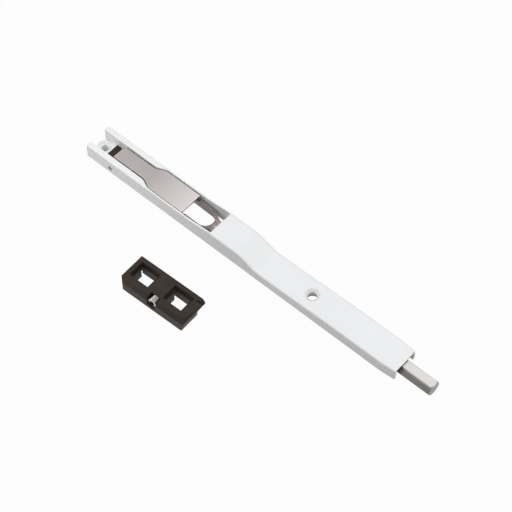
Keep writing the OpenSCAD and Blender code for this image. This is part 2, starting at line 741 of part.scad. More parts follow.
housing();
cover();
tail_stop();
pivot_pin();
pivot_washers();
lever();
yoke();
crank_pin();
slide();
link_pin();
link_clip();
rod();
rod_pin();
nose_guide();
slide_guide();
detent_spring();
keeper();
keeper_screw();
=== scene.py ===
"""Builds the looks of a lever-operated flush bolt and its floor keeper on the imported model."""

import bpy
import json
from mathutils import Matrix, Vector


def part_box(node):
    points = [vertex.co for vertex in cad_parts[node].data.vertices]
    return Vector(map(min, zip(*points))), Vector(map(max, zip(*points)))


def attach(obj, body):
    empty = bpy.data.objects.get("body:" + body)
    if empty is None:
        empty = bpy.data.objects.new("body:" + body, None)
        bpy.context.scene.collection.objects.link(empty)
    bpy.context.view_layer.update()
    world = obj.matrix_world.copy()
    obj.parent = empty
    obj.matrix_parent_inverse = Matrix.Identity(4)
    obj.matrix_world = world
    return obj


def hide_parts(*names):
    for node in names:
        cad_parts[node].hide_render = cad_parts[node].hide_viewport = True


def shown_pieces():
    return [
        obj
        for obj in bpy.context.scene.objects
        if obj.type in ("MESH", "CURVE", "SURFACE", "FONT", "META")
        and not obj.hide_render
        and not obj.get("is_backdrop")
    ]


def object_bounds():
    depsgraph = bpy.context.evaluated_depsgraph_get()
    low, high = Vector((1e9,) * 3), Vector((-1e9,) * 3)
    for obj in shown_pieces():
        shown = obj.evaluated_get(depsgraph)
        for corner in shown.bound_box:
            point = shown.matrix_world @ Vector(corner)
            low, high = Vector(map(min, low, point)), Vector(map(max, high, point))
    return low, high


bl_info = {
    "name": "Flush bolt",
    "version": (1, 0, 0),
    "blender": (4, 5, 0),
    "location": "3D View > Sidebar > Flush bolt",
    "description": "Builds the looks of a lever-operated flush bolt and its floor keeper",
    "category": "Object",
}

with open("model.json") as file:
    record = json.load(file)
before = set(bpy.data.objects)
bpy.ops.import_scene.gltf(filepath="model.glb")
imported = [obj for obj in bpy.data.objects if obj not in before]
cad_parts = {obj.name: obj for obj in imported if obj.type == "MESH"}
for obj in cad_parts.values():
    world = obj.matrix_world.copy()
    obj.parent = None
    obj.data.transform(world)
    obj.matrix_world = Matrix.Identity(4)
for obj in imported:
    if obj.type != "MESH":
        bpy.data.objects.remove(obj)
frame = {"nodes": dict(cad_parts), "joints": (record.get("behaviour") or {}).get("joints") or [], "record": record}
cad_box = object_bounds()

import json
import math

import bmesh
import bpy
from bpy.props import FloatProperty, FloatVectorProperty, PointerProperty
from mathutils import Matrix, Vector
from mathutils.bvhtree import BVHTree

MM = 0.001
PHOTO_W = 512
PHOTO_H = 512
LONG_SIDE = max(PHOTO_W, PHOTO_H)
MERGED_WITHIN = 0.002 * MM  # corners of a CAD mesh closer than this are one corner

# Image points: where things show in the photograph. None means that only the other number is kept.
IMAGE_POINTS = {
    "left": (84.0, None),
    "right": (440.0, None),
    "top": (None, 125.0),
    "bottom": (None, 396.0),
    "end_fixing_hole": (102.7, 147.0),
    "pivot_rivet": (110.6, 167.8),
    "lever_tip_near": (183.0, 211.0),
    "lever_tip_far": (200.3, 196.4),
    "cover_start_near": (209.5, 233.2),
    "cover_start_far": (230.5, 215.2),
    "cover_fixing_hole": (312.5, 294.5),
    "nose_near": (395.1, 372.0),
    "nose_far": (415.6, 350.7),
    "rod_tip_far": (439.7, 382.9),
    "keeper_hole_left": (146.2, 280.2),
    "keeper_hole_right": (179.3, 304.3),
    "set_screw": (152.5, 300.5),
    "keeper_left_corner": (121.1, 279.2),
    "keeper_right_corner": (206.8, 301.9),
    "keeper_bottom_corner": (181.0, 330.1),
}


def edge(description, default):
    """A property for the radius of an edge, or for another small size, in metres."""
    return FloatProperty(name=description, description=description, default=default, min=0.0, unit="LENGTH")


def tint(description, default):
    """A property for a colour, as linear red, green and blue."""
    return FloatVectorProperty(name=description, description=description, default=default,
                               min=0.0, max=1.0, size=3, subtype="COLOR")


def setting(name, description, default, **kind):
    """A property for a number of the studio."""
    return FloatProperty(name=name, description=description, default=default, **kind)


class FlushBoltSizes(bpy.types.PropertyGroup):
    """Sizes of the soft edges and of the small details that the looks add."""
    rim_edge: edge("Outer edge radius of the painted side walls", 0.8 * MM)
    cover_edge: edge("Outer edge radius of the painted cover", 1.1 * MM)
    paint_edge: edge("Edge radius of the paint elsewhere", 0.2 * MM)
    lever_edge: edge("Edge radius of the cast lever", 0.5 * MM)
    yoke_edge: edge("Edge radius of the yoke", 0.3 * MM)
    rod_edge: edge("Edge radius of the hexagonal rod", 0.25 * MM)
    slide_edge: edge("Edge radius of the slide", 0.2 * MM)
    keeper_edge: edge("Edge radius of the moulded keeper", 0.35 * MM)
    guide_edge: edge("Edge radius of the plastic guides", 0.25 * MM)
    rivet_radius: edge("Radius of the peened ends of the lever's pivot", 1.4 * MM)
    rivet_height: edge("Height of the peened ends of the lever's pivot", 0.3 * MM)
    thread_pitch: edge("Pitch of the set screw's thread", 0.5 * MM)
    thread_depth: edge("Depth of the set screw's thread", 0.12 * MM)


class FlushBoltColours(bpy.types.PropertyGroup):
    """Colours of the finishes, as linear values."""
    paint: tint("White powder coat", (0.855, 0.862, 0.872))
    nickel: tint("Satin nickel of the lever", (0.635, 0.592, 0.583))
    rod: tint("Plated rod", (0.60, 0.59, 0.575))
    bright: tint("Bright plated pins", (0.47, 0.46, 0.45))
    dark: tint("Phosphated yoke", (0.185, 0.162, 0.156))
    # Painted shade: this zinc is made very dark so that the slide's slot shows dark through the cover's hole,
    # where there is shade.
    zinc: tint("Zinc-plated slide and spring", (0.17, 0.17, 0.175))
    black: tint("Black moulded plastic", (0.020, 0.0125, 0.0075))
    acetal: tint("Natural plastic of the washers", (0.78, 0.77, 0.73))
    floor: tint("Floor", (0.42, 0.38, 0.355))


class FlushBoltStudio(bpy.types.PropertyGroup):
    """Camera and lamps. The camera's numbers were found from the image points."""
    azimuth: setting("Azimuth", "Direction of the camera round the bolt", math.radians(41.207),
                     subtype="ANGLE")
    elevation: setting("Elevation", "Height of the camera above the floor, as an angle", math.radians(55.751),
                       subtype="ANGLE")
    roll: setting("Roll", "Turn of the camera about its own axis", math.radians(0.186), subtype="ANGLE")
    distance: setting("Distance", "From the camera to what it aims at", 0.85583, unit="LENGTH")
    aim: FloatVectorProperty(name="Aim", description="What the camera aims at",
                             default=(0.11002, 0.0022, 0.0), size=3, subtype="TRANSLATION", unit="LENGTH")
    lens: setting("Lens", "Focal length in millimetres", 113.05)
    sensor: setting("Sensor", "Sensor width in millimetres", 36.0)
    key_power: setting("Key power", "Power of the large lamp overhead", 0.12)
    fill_power: setting("Fill power", "Power of the lamp by the lever end", 0.3)
    back_power: setting("Back power", "Power of the lamp behind the rod's end", 0.8)
    overhead: setting("Overhead", "Brightness of the surroundings overhead", 1.18)
    horizon: setting("Horizon", "Brightness of the surroundings low down", 0.03)
    reflected_horizon: setting("Reflected horizon",
                               "Brightness of the surroundings low down, as metal shows them", 0.35)


# ---- Finishes ---------------------------------------------------------------------------------

class Wire:
    """The output of a node, so that maths on it is written as maths."""

    def __init__(self, nodes, socket):
        self.nodes = nodes
        self.socket = socket

    def maths(self, operation, first, second):
        return self.nodes.node("ShaderNodeMath", {"operation": operation}, {0: first, 1: second})

    def __add__(self, other):
        return self.maths("ADD", self, other)

    def __radd__(self, other):
        return self.maths("ADD", other, self)

    def __sub__(self, other):
        return self.maths("SUBTRACT", self, other)

    def __rsub__(self, other):
        return self.maths("SUBTRACT", other, self)

    def __mul__(self, other):
        return self.maths("MULTIPLY", self, other)

    def __rmul__(self, other):
        return self.maths("MULTIPLY", other, self)


class Nodes:
    """The nodes of a material or of the world. They all come from one method, node()."""

    def __init__(self, tree):
        self.tree = tree

    def node(self, kind, settings, sockets, output=0):
        """Add a node of a kind: its settings come first, then the values or wires of its sockets."""
        made = self.tree.nodes.new(kind)
        for name, value in settings.items():
            setattr(made, name, value)
        for name, value in sockets.items():
            self.feed(made.inputs[name], value)
        return Wire(self, made.outputs[output])

    def feed(self, socket, value):
        """Give a socket a wire, or a value of its own."""
        if isinstance(value, Wire):
            self.tree.links.new(value.socket, socket)
        else:
            socket.default_value = value

    def along(self, axis, place):
        """One axis of a place."""
        return self.node("ShaderNodeSeparateXYZ", {}, {"Vector": place}, axis)

    def seen_by(self, *kinds):
        """1 for the rays of these kinds, and 0 for the others."""
        first, *others = [self.node("ShaderNodeLightPath", {}, {}, f"Is {kind} Ray") for kind in kinds]
        for ray in others:
            first = first.maths("MAXIMUM", first, ray)
        return first


class Finish(Nodes):
    """A material with one shader."""

    def __init__(self, name):
        self.material = bpy.data.materials.new(name)
        self.material.use_nodes = True
        super().__init__(self.material.node_tree)
        self.shader = self.tree.nodes["Principled BSDF"]
        self.place = self.node("ShaderNodeTexCoord", {}, {}, "Object")

    def surface(self, **values):
        """Give the shader's sockets wires for what changes over the surface, and values for what doesn't."""
        for name, value in values.items():
            self.feed(self.shader.inputs[name.replace("_", " ")], value)

    def noise(self, per_metre, detail, roughness=0.5):
        """Noise with so many patterns per metre, on each axis or on all three alike."""
        scale = per_metre if isinstance(per_metre, tuple) else (per_metre,) * 3
        place = self.node("ShaderNodeMapping", {}, {"Vector": self.place, "Scale": scale})
        return self.node("ShaderNodeTexNoise", {},
                         {"Vector": place, "Scale": 1.0, "Detail": detail, "Roughness": roughness}, "Fac")

    def mixed(self, factor, first, second, blend="MIX"):
        """A colour mixed from two, by a number or a wire from 0 to 1."""
        first, second = (colour if isinstance(colour, Wire) else (*colour, 1.0) for colour in (first, second))
        return self.node("ShaderNodeMix", {"data_type": "RGBA", "blend_type": blend},
                         {0: factor, 6: first, 7: second}, 2)

    def streaked(self, colour, grain, share):
        """A colour with a share of a grain's darker lines in it."""
        lines = self.mixed(self.clamped(grain, 0.3, 0.7), (0.6, 0.6, 0.6), (1.0, 1.0, 1.0))
        return self.mixed(share, colour, lines, "MULTIPLY")

    def bump(self, height, strength, distance):
        return self.node("ShaderNodeBump", {}, {"Strength": strength, "Distance": distance, "Height": height},
                         "Normal")

    def clamped(self, wire, low, high):
        """A wire stretched from low..high to 0..1 and clamped."""
        return self.node("ShaderNodeMapRange", {}, {"Value": wire, "From Min": low, "From Max": high})


def shade(colour, factor):
    """A colour made lighter or darker."""
    return tuple(channel * factor for channel in colour)


def powder_coat(name, paint):
    """White powder coat: a fine orange peel, a slight change of gloss and a trace of dust in it."""
    finish = Finish(name)
    peel = finish.noise(per_metre=850, detail=1.5)
    fine = finish.noise(per_metre=3600, detail=2.0)
    cloud = finish.noise(per_metre=45, detail=3.0)
    dusty = shade(paint, 0.975)
    finish.surface(Base_Color=finish.mixed(finish.clamped(cloud, 0.3, 0.7), dusty, paint),
                   Roughness=0.30 + 0.10 * cloud + 0.06 * fine,
                   Normal=finish.bump(peel + 0.25 * fine, strength=0.5, distance=0.03 * MM),
                   Metallic=0.0, IOR=1.5)
    return finish.material


def cast_nickel(name, nickel):
    """Satin nickel on a casting: brushed lengthwise, with painted shade darker at the neck and a painted sheen
    brighter towards the tip.
    """
    finish = Finish(name)
    grain = finish.noise(per_metre=(90, 4200, 4200), detail=4.0, roughness=0.65)
    cloud = finish.noise(per_metre=110, detail=3.0)
    low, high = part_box("lever")
    place = finish.along("X", finish.place) + 6 * MM * cloud
    # Painted light: the base colour runs from darker at the neck to brighter at the tip, standing in for the
    # reflection there; the same mask lowers the roughness.
    rubbed_and_painted_sheen = finish.clamped(place, low.x + 30 * MM, high.x + 4 * MM)
    dull_and_painted_shade = shade(nickel, 0.72)
    finish.surface(Base_Color=finish.streaked(finish.mixed(rubbed_and_painted_sheen, dull_and_painted_shade, nickel), grain, share=0.16),
                   Roughness=0.46 - 0.10 * rubbed_and_painted_sheen + 0.14 * (grain + cloud - 1.0),
                   Normal=finish.bump(grain + 0.5 * cloud, strength=0.6, distance=0.012 * MM),
                   Metallic=1.0)
    return finish.material


def satin_metal(name, colour, across, along, roughness, spread, depth):
    """Metal with a grain along X: across and along are its lines per metre, and depth is theirs."""
    finish = Finish(name)
    grain = finish.noise(per_metre=(along, across, across), detail=4.0, roughness=0.65)
    cloud = finish.noise(per_metre=90, detail=3.0)
    dull_and_painted_shade = shade(colour, 0.90)
    clean = finish.clamped(0.6 * grain + 0.4 * cloud, 0.32, 0.68)
    finish.surface(Base_Color=finish.mixed(clean, dull_and_painted_shade, colour),
                   Roughness=roughness + spread * (grain + cloud - 1.0),
                   Normal=finish.bump(grain, strength=0.6, distance=depth),
                   Metallic=1.0)
    return finish.material


def rod_with_painted_top_light(name, colour):
    """Plated drawn bar: fine lines along it, with painted light: the top flat that runs under the cover is lighter
    and the sides are painted darker, standing in for their reflections.
    """
    finish = Finish(name)
    grain = finish.noise(per_metre=(30, 3200, 3200), detail=4.0, roughness=0.65)
    cloud = finish.noise(per_metre=90, detail=3.0)
    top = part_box("rod")[1].z
    # Painted light: the base colour is light on the top flat and much darker on the sides below it, standing in
    # for reflections; the same mask lowers the roughness on top.
    painted_top_light = finish.clamped(finish.along("Z", finish.place), top - 1.1 * MM, top - 0.2 * MM)
    dull_and_painted_shade = shade(colour, 0.42)
    finish.surface(Base_Color=finish.streaked(finish.mixed(painted_top_light, dull_and_painted_shade, colour), grain, share=0.2),
                   Roughness=0.34 - 0.08 * painted_top_light + 0.12 * (grain + cloud - 1.0),
                   Normal=finish.bump(grain, strength=0.6, distance=0.01 * MM),
                   Metallic=1.0)
    return finish.material


def phosphated_steel(name, dark):
    """Dark stamped steel: fine crystals, rubbed patches, and worn pale where it slides under the cover."""
    finish = Finish(name)
    crystals = finish.noise(per_metre=5200, detail=3.0, roughness=0.7)
    patches = finish.noise(per_metre=(260, 520, 520), detail=3.0)
    rubbed_and_painted_sheen = finish.mixed(finish.clamped(patches, 0.35, 0.7), dark, shade(dark, 1.5))
    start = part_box("cover")[0].x
    place = finish.along("X", finish.place) + 5 * MM * patches
    worn = finish.clamped(place, start - 2.5 * MM, start + 1.5 * MM)
    pale = shade(dark, 3.2)
    finish.surface(Base_Color=finish.mixed(worn, rubbed_and_painted_sheen, pale),
                   Roughness=0.55 - 0.2 * patches + 0.1 * crystals,
                   Normal=finish.bump(crystals, strength=0.5, distance=0.02 * MM),
                   Metallic=0.85)
    return finish.material


def moulded_plastic(name, colour, roughness, depth):
    """Moulded plastic with the fine matt of a spark-eroded mould and a slightly greyer bloom."""
    finish = Finish(name)
    matt = finish.noise(per_metre=4200, detail=3.0, roughness=0.65)
    bloom = finish.noise(per_metre=120, detail=4.0, roughness=0.6)
    greyer = tuple(0.006 + 1.35 * channel for channel in colour)
    finish.surface(Base_Color=finish.mixed(finish.clamped(bloom, 0.35, 0.75), colour, greyer),
                   Roughness=roughness + 0.12 * (bloom + matt - 1.0),
                   Normal=finish.bump(matt + 0.4 * bloom, strength=0.5, distance=depth),
                   Metallic=0.0, IOR=1.38)
    return finish.material


# Each finish: its colour in the settings, the function that makes it and what that function is told.
FINISHES = {
    "white_powder_coat": ("paint", powder_coat, {}),
    "brushed_nickel": ("nickel", cast_nickel, {}),
    "drawn_rod": ("rod", rod_with_painted_top_light, {}),
    "bright_plate": ("bright", satin_metal,
                     {"across": 1500, "along": 1500, "roughness": 0.22, "spread": 0.10, "depth": 0.006 * MM}),
    "zinc_plate": ("zinc", satin_metal,
                   {"across": 2600, "along": 160, "roughness": 0.38, "spread": 0.16, "depth": 0.012 * MM}),
    "phosphated_steel": ("dark", phosphated_steel, {}),
    "matt_black_moulding": ("black", moulded_plastic, {"roughness": 0.56, "depth": 0.02 * MM}),
    "natural_acetal": ("acetal", moulded_plastic, {"roughness": 0.38, "depth": 0.01 * MM}),
}
made_finishes = {}


def material_of(name):
    """The finish of a name, made when it is first asked for."""
    if name not in made_finishes:
        colour, make, settings = FINISHES[name]
        tone = tuple(getattr(bpy.context.scene.flush_bolt_colours, colour))
        made_finishes[name] = make(name, tone, **settings)
    return made_finishes[name]


# ---- Modelling --------------------------------------------------------------------------------

def pick(piece):
    """Select one piece alone and make it active."""
    bpy.ops.object.select_all(action="DESELECT")
    piece.select_set(True)
    bpy.context.view_layer.objects.active = piece


def modify(piece, kind, **settings):
    """Add a modifier, set it and apply it."""
    pick(piece)
    bpy.ops.object.modifier_add(type=kind)
    modifier = piece.modifiers[-1]
    for name, value in settings.items():
        setattr(modifier, name, value)
    bpy.ops.object.modifier_apply(modifier=modifier.name)


def edit_all(piece, *steps):
    """Run steps in edit mode with the whole mesh selected."""
    pick(piece)
    bpy.ops.object.mode_set(mode="EDIT")
    for step in steps:
        bpy.ops.mesh.select_all(action="SELECT")
        step()
    bpy.ops.object.mode_set(mode="OBJECT")


def choose(piece, kind, chosen):
    """Go into edit mode with only the chosen vertices, edges or faces selected, by their numbers."""
    pick(piece)
    bpy.ops.object.mode_set(mode="EDIT")
    bpy.ops.mesh.select_mode(type=kind)
    bpy.ops.mesh.select_all(action="DESELECT")
    bpy.ops.object.mode_set(mode="OBJECT")
    items = {"VERT": piece.data.vertices, "EDGE": piece.data.edges, "FACE": piece.data.polygons}[kind]
    items.foreach_set("select", [index in chosen for index in range(len(items))])
    bpy.ops.object.mode_set(mode="EDIT")


def copied(node, name, *holes):
    """A new piece from a CAD node's mesh, with its loose triangles merged into whole faces.

    Each hole is the x of a hole's middle, where the faces that it pierces are kept split in two."""
    piece = bpy.data.objects.new(name, frame["nodes"][node].data.copy())
    bpy.context.scene.collection.objects.link(piece)
    pick(piece)
    if piece.data.has_custom_normals:
        bpy.ops.mesh.customdata_custom_splitnormals_clear()
    edit_all(piece,
             lambda: bpy.ops.mesh.remove_doubles(threshold=MERGED_WITHIN),
             lambda: bpy.ops.mesh.mark_sharp(clear=True))
    for x in holes:
        edit_all(piece, lambda: (bpy.ops.mesh.bisect(plane_co=(x, 0, 0), plane_no=(1, 0, 0)),
                                 bpy.ops.mesh.mark_seam(clear=False)))
    flat = math.radians(0.6)
    edit_all(piece, lambda: bpy.ops.mesh.dissolve_limited(angle_limit=flat, delimit={"SEAM"}))
    return piece


def finish_surface(piece, smooth_up_to=30):
    """Shade smooth up to an angle in degrees, with the flat faces kept flat."""
    pick(piece)
    bpy.ops.object.shade_smooth_by_angle(angle=math.radians(smooth_up_to))
    modify(piece, "WEIGHTED_NORMAL", keep_sharp=True, weight=80)


def round_edges(piece, radius, segments, chosen, turn=35, clamp=False):
    """Round the outward edges that turn by more than an angle in degrees, where chosen() says yes."""
    mesh = bmesh.new()
    mesh.from_mesh(piece.data)
    mesh.normal_update()
    rounded = set()
    for rim in mesh.edges:
        if len(rim.link_faces) == 2 and rim.calc_face_angle_signed() > math.radians(turn):
            middle = (rim.verts[0].co + rim.verts[1].co) / 2
            if chosen(middle, *[face.normal for face in rim.link_faces]):
                rounded.add(rim.index)
    mesh.free()
    if not rounded:
        raise RuntimeError(f"no edge of {piece.name} is chosen to be rounded")
    choose(piece, "EDGE", rounded)
    bpy.ops.mesh.bevel(offset=radius, segments=segments, affect="EDGES", clamp_overlap=clamp)
    bpy.ops.object.mode_set(mode="OBJECT")


def outer_top_edge(middle, first, second):
    """Whether an edge runs along the top of a long side."""
    top, side = sorted((first, second), key=lambda normal: -normal.z)
    looks_up = top.z > 0.6
    looks_out = side.y * middle.y > 0.7 * abs(middle.y)
    on_a_long_side = abs(middle.y) > 6.5 * MM
    return looks_up and looks_out and on_a_long_side


def soften(piece, radius):
    """Round all the sharp edges of a piece."""
    if radius > 0:
        modify(piece, "BEVEL", width=radius, segments=2, limit_method="ANGLE", angle_limit=math.radians(32),
               use_clamp_overlap=True, harden_normals=False, miter_outer="MITER_ARC")
    finish_surface(piece)


def belongs(piece, body, slot, material, *replaced):
    """Give a finished piece its material and the body it rides on, and hide the CAD nodes it stands for."""
    piece.data.materials.clear()
    piece.data.materials.append(material_of(material))
    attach(piece, body)
    if replaced:
        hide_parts(*replaced)


def dress(node, name, body, slot, material, radius):
    """A softened copy of a CAD node in its finish."""
    piece = copied(node, name)
    soften(piece, radius)
    belongs(piece, body, slot, material, node)


def refinish(node, material):
    """A CAD node whose shape is right keeps it and gets a finish."""
    for slot in frame["nodes"][node].material_slots:
        slot.material = material_of(material)


def rivet(name, place, sizes):
    """A low peened dome that faces the near side, with the dimple that the riveting punch leaves."""
    bpy.ops.object.select_all(action="DESELECT")
    bpy.ops.mesh.primitive_cylinder_add(vertices=40, radius=sizes.rivet_radius, depth=sizes.rivet_height,
                                        rotation=(math.radians(90), 0, 0))
    piece = bpy.context.object
    piece.name = name
    bpy.ops.object.transform_apply(location=False, rotation=True, scale=False)
    near_face = min(piece.data.polygons, key=lambda face: face.center.y)
    choose(piece, "FACE", {near_face.index})
    # Each inset, as shares of the radius and of the height: two make the dome, and two make the dimple.
    for width, depth in ((0.22, 0.35), (0.2, 0.15), (0.18, -0.35), (0.22, -0.1)):
        bpy.ops.mesh.inset(thickness=width * sizes.rivet_radius, depth=depth * sizes.rivet_height)
    bpy.ops.object.mode_set(mode="OBJECT")
    edit_all(piece, lambda: bpy.ops.transform.translate(value=place + Vector((0, sizes.rivet_height / 2, 0))))
    finish_surface(piece, smooth_up_to=50)
    return piece


def cut_thread(screw, way, sizes):
    """Cut rings of grooves into a plain screw, as its thread, from one end to the other."""
    way = way.normalized()
    points = [vertex.co.copy() for vertex in screw.data.vertices]
    middle = (Vector([min(p[i] for p in points) for i in range(3)])
              + Vector([max(p[i] for p in points) for i in range(3)])) / 2

    def along(point):
        return (point - middle).dot(way)

    def from_axis(point):
        return (point - middle - way * along(point)).length

    start, end = min(map(along, points)), max(map(along, points))
    radius = max(map(from_axis, points))
    step = sizes.thread_pitch / 2
    count = int((end - start) / step)
    for number in range(1, count):
        cut = middle + way * (start + number * step)
        edit_all(screw, lambda: bpy.ops.mesh.bisect(plane_co=cut, plane_no=way))
    groove = (1 - sizes.thread_depth / radius,) * 3
    outer, same_place = 0.9 * radius, 0.003 * MM
    for number in range(0, count + 1, 2):
        at = min(start + number * step, end)
        ring = {vertex.index for vertex in screw.data.vertices
                if abs(along(vertex.co) - at) < same_place and from_axis(vertex.co) > outer}
        if ring:
            choose(screw, "VERT", ring)
            bpy.ops.transform.resize(value=groove, center_override=middle + way * at)
            bpy.ops.object.mode_set(mode="OBJECT")
    finish_surface(screw, smooth_up_to=24)


# ---- Image points -----------------------------------------------------------------------------

def image_ray(x, y):
    """Where the ray through a point of the photograph starts, and which way it goes."""
    camera = bpy.context.scene.camera
    lens = camera.data.lens / camera.data.sensor_width
    along = Vector((x - PHOTO_W / 2 + camera.data.shift_x * LONG_SIDE,
                    PHOTO_H / 2 - y + camera.data.shift_y * LONG_SIDE, -LONG_SIDE * lens))
    return camera.matrix_world.translation, (camera.matrix_world.to_3x3() @ along).normalized()


def image_of(point):
    """Where a point in space shows in the photograph."""
    camera = bpy.context.scene.camera
    seen = camera.matrix_world.inverted() @ Vector(point)
    reach = LONG_SIDE * camera.data.lens / camera.data.sensor_width / -seen.z
    return (PHOTO_W / 2 - camera.data.shift_x * LONG_SIDE + seen.x * reach,
            PHOTO_H / 2 + camera.data.shift_y * LONG_SIDE - seen.y * reach)


def tree_of(piece):
    """A BVHTree of a piece as finished and placed, and its points."""
    shown = piece.evaluated_get(bpy.context.evaluated_depsgraph_get())
    mesh = shown.to_mesh()
    points = [shown.matrix_world @ vertex.co for vertex in mesh.vertices]
    tree = BVHTree.FromPolygons(points, [tuple(face.vertices) for face in mesh.polygons])
    shown.to_mesh_clear()
    return tree, points


def place_on(name, carrier):
    """Where the ray through an image point meets its carrier. A miss takes the place nearest the ray."""
    start, way = image_ray(*IMAGE_POINTS[name])
    tree, points = tree_of(carrier)
    place = tree.ray_cast(start, way)[0]
    if place is None:
        nearest = min(points, key=lambda p: (p - start - way * (p - start).dot(way)).length)
        place = tree.find_nearest(nearest)[0]
    return place


def mount_place(name):
    """Where a mount of the record is."""
    return Vector(next(mount["pos_m"] for mount in frame["record"]["mounts"] if mount["name"] == name))


def cover_hole():
    """Where the middle of the cover's hole is on its face, by the height of the face beside the hole."""
    hole = mount_place("cover_fixing_hole")
    beside = Vector((hole.x, 6 * MM, 100 * MM))
    tree, _ = tree_of(bpy.data.objects["face_cover"])
    return Vector((hole.x, hole.y, tree.ray_cast(beside, Vector((0, 0, -1)))[0].z))


def write_points():
    """Work out how far each thing shows from its image point, by the vertices that show. The results are not kept.
    """
    shown = {piece.name: tree_of(piece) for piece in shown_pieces()}
    eye = bpy.context.scene.camera.matrix_world.translation
    just_before = 0.2 * MM

    def visible(point):
        away = point - eye
        return all(tree.ray_cast(eye, away.normalized(), away.length - just_before)[0] is None
                   for tree, _ in shown.values())

    images = [(image_of(point), point) for _, points in shown.values() for point in points]

    def extreme(axis, sign):
        """The furthest that anything shows to one side of the picture."""
        for image, point in sorted(images, key=lambda pair: -sign * pair[0][axis]):
            if visible(point):
                return image[axis]

    def middle(piece, inside=lambda point: True):
        """The middle of what shows of a piece, or of the part of it that is inside."""
        seen = [image_of(point) for point in shown[piece][1] if inside(point) and visible(point)]
        return [(min(s[i] for s in seen) + max(s[i] for s in seen)) / 2 for i in (0, 1)] if seen else None

    def corner(piece, direction):
        """The visible vertex of a piece that lies furthest along a direction."""
        seen = [point for point in shown[piece][1] if visible(point)]
        return image_of(max(seen, key=lambda point: point.dot(Vector(direction)))) if seen else None

    hole = cover_hole()

    def round_the_hole(point):
        away = point - hole
        return max(abs(away.x), abs(away.y)) <= 4.5 * MM and abs(away.z) <= 0.4 * MM

    found = {
        "left": (extreme(0, -1), None),
        "right": (extreme(0, 1), None),
        "top": (None, extreme(1, -1)),
        "bottom": (None, extreme(1, 1)),
        "end_fixing_hole": image_of(mount_place("end_fixing_hole") + Vector((0, 0, 4 * MM))),
        "pivot_rivet": middle("pivot_rivet_near"),
        "lever_tip_near": corner("finger_lever", (1, -1, 0.5)),
        "lever_tip_far": corner("finger_lever", (1, 1, 0.5)),
        "cover_start_near": corner("face_cover", (-1, -1, 0.6)),
        "cover_start_far": corner("face_cover", (-1, 1, 0.6)),
        "cover_fixing_hole": middle("face_cover", round_the_hole),
        "nose_near": corner("face_cover", (1, -1, 0.6)),
        "nose_far": corner("face_cover", (1, 1, 0.6)),
        "rod_tip_far": corner("hexagon_rod", (1, 1, 0)),
        "keeper_hole_left": image_of(mount_place("keeper_hole_left")),
        "keeper_hole_right": image_of(mount_place("keeper_hole_right")),
        "set_screw": middle("set_screw"),
        "keeper_left_corner": corner("floor_keeper", (-1, -0.4, 1)),
        "keeper_right_corner": corner("floor_keeper", (1, 1, 0.3)),
        "keeper_bottom_corner": corner("floor_keeper", (1, -1, -0.3)),
    }
    for name, (x, y) in IMAGE_POINTS.items():
        seen = found[name]
        if seen is None:
            continue
        [None if a is None or b is None else round(b - a, 2)
                        for a, b in ((x, seen[0]), (y, seen[1]))]


# ---- Pieces -----------------------------------------------------------------------------------

class FLUSHBOLT_OT_housing(bpy.types.Operator):
    """Dress the painted housing"""
    bl_idname = "flushbolt.housing"
    bl_label = "Housing"

    def execute(self, context):
        sizes = context.scene.flush_bolt_sizes
        pivot = (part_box("pivot_pin")[0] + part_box("pivot_pin")[1]) / 2
        cover_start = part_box("cover")[0].x
        outer_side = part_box("housing")[1].y

        def on_the_rim(middle, first, second):
            """Whether an edge is on the outer rim, or an outer corner of the step where the cover starts."""
            near = 0.1 * MM
            step_corner = abs(middle.x - cover_start) < near and outer_side - abs(middle.y) < near
            return outer_top_edge(middle, first, second) or step_corner

        def away_from_pivot(middle, *normals):
            """Whether an edge is clear of the pivot's hole, whose rim the rivets cover."""
            return math.hypot(middle.x - pivot.x, middle.z - pivot.z) > 3 * MM

        piece = copied("housing", "painted_housing", pivot.x, mount_place("end_fixing_hole").x)
        round_edges(piece, sizes.rim_edge, 5, on_the_rim)
        round_edges(piece, sizes.paint_edge, 2, away_from_pivot, turn=50, clamp=True)
        finish_surface(piece)
        belongs(piece, "housing_body", "white_paint", "white_powder_coat", "housing")
        # Painted shade: the tail stop is finished matt black, a dark piece standing in for the deep shade behind
        # the lever's tail.
        refinish("tail_stop", "matt_black_moulding")
        return {"FINISHED"}


class FLUSHBOLT_OT_cover(bpy.types.Operator):
    """Dress the humped cover plate"""
    bl_idname = "flushbolt.cover"
    bl_label = "Cover"

    def execute(self, context):
        sizes = context.scene.flush_bolt_sizes
        piece = copied("cover", "face_cover", mount_place("cover_fixing_hole").x)
        round_edges(piece, sizes.cover_edge, 5, outer_top_edge)
        soften(piece, sizes.paint_edge)
        belongs(piece, "housing_body", "white_paint", "white_powder_coat", "cover")
        return {"FINISHED"}


class FLUSHBOLT_OT_lever(bpy.types.Operator):
    """Dress the satin lever"""
    bl_idname = "flushbolt.lever"
    bl_label = "Lever"

    def execute(self, context):
        sizes = context.scene.flush_bolt_sizes

        def top_edge(middle, first, second):
            looks_up = 0.8
            return max(first.z, second.z) > looks_up

        piece = copied("lever", "finger_lever")
        round_edges(piece, sizes.lever_edge, 4, top_edge)
        soften(piece, sizes.lever_edge / 4)
        belongs(piece, "lever_body", "satin_nickel", "brushed_nickel", "lever")
        return {"FINISHED"}


class FLUSHBOLT_OT_linkage(bpy.types.Operator):
    """Dress the yoke, the slide and the rod"""
    bl_idname = "flushbolt.linkage"
    bl_label = "Yoke, slide and rod"

    def execute(self, context):
        sizes = context.scene.flush_bolt_sizes
        dress("yoke", "finger_yoke", "yoke_body", "dark_steel", "phosphated_steel", sizes.yoke_edge)
        dress("slide", "rod_slide_bar", "rod_body", "zinc_steel", "zinc_plate", sizes.slide_edge)
        dress("rod", "hexagon_rod", "rod_body", "satin_rod", "drawn_rod", sizes.rod_edge)
        return {"FINISHED"}


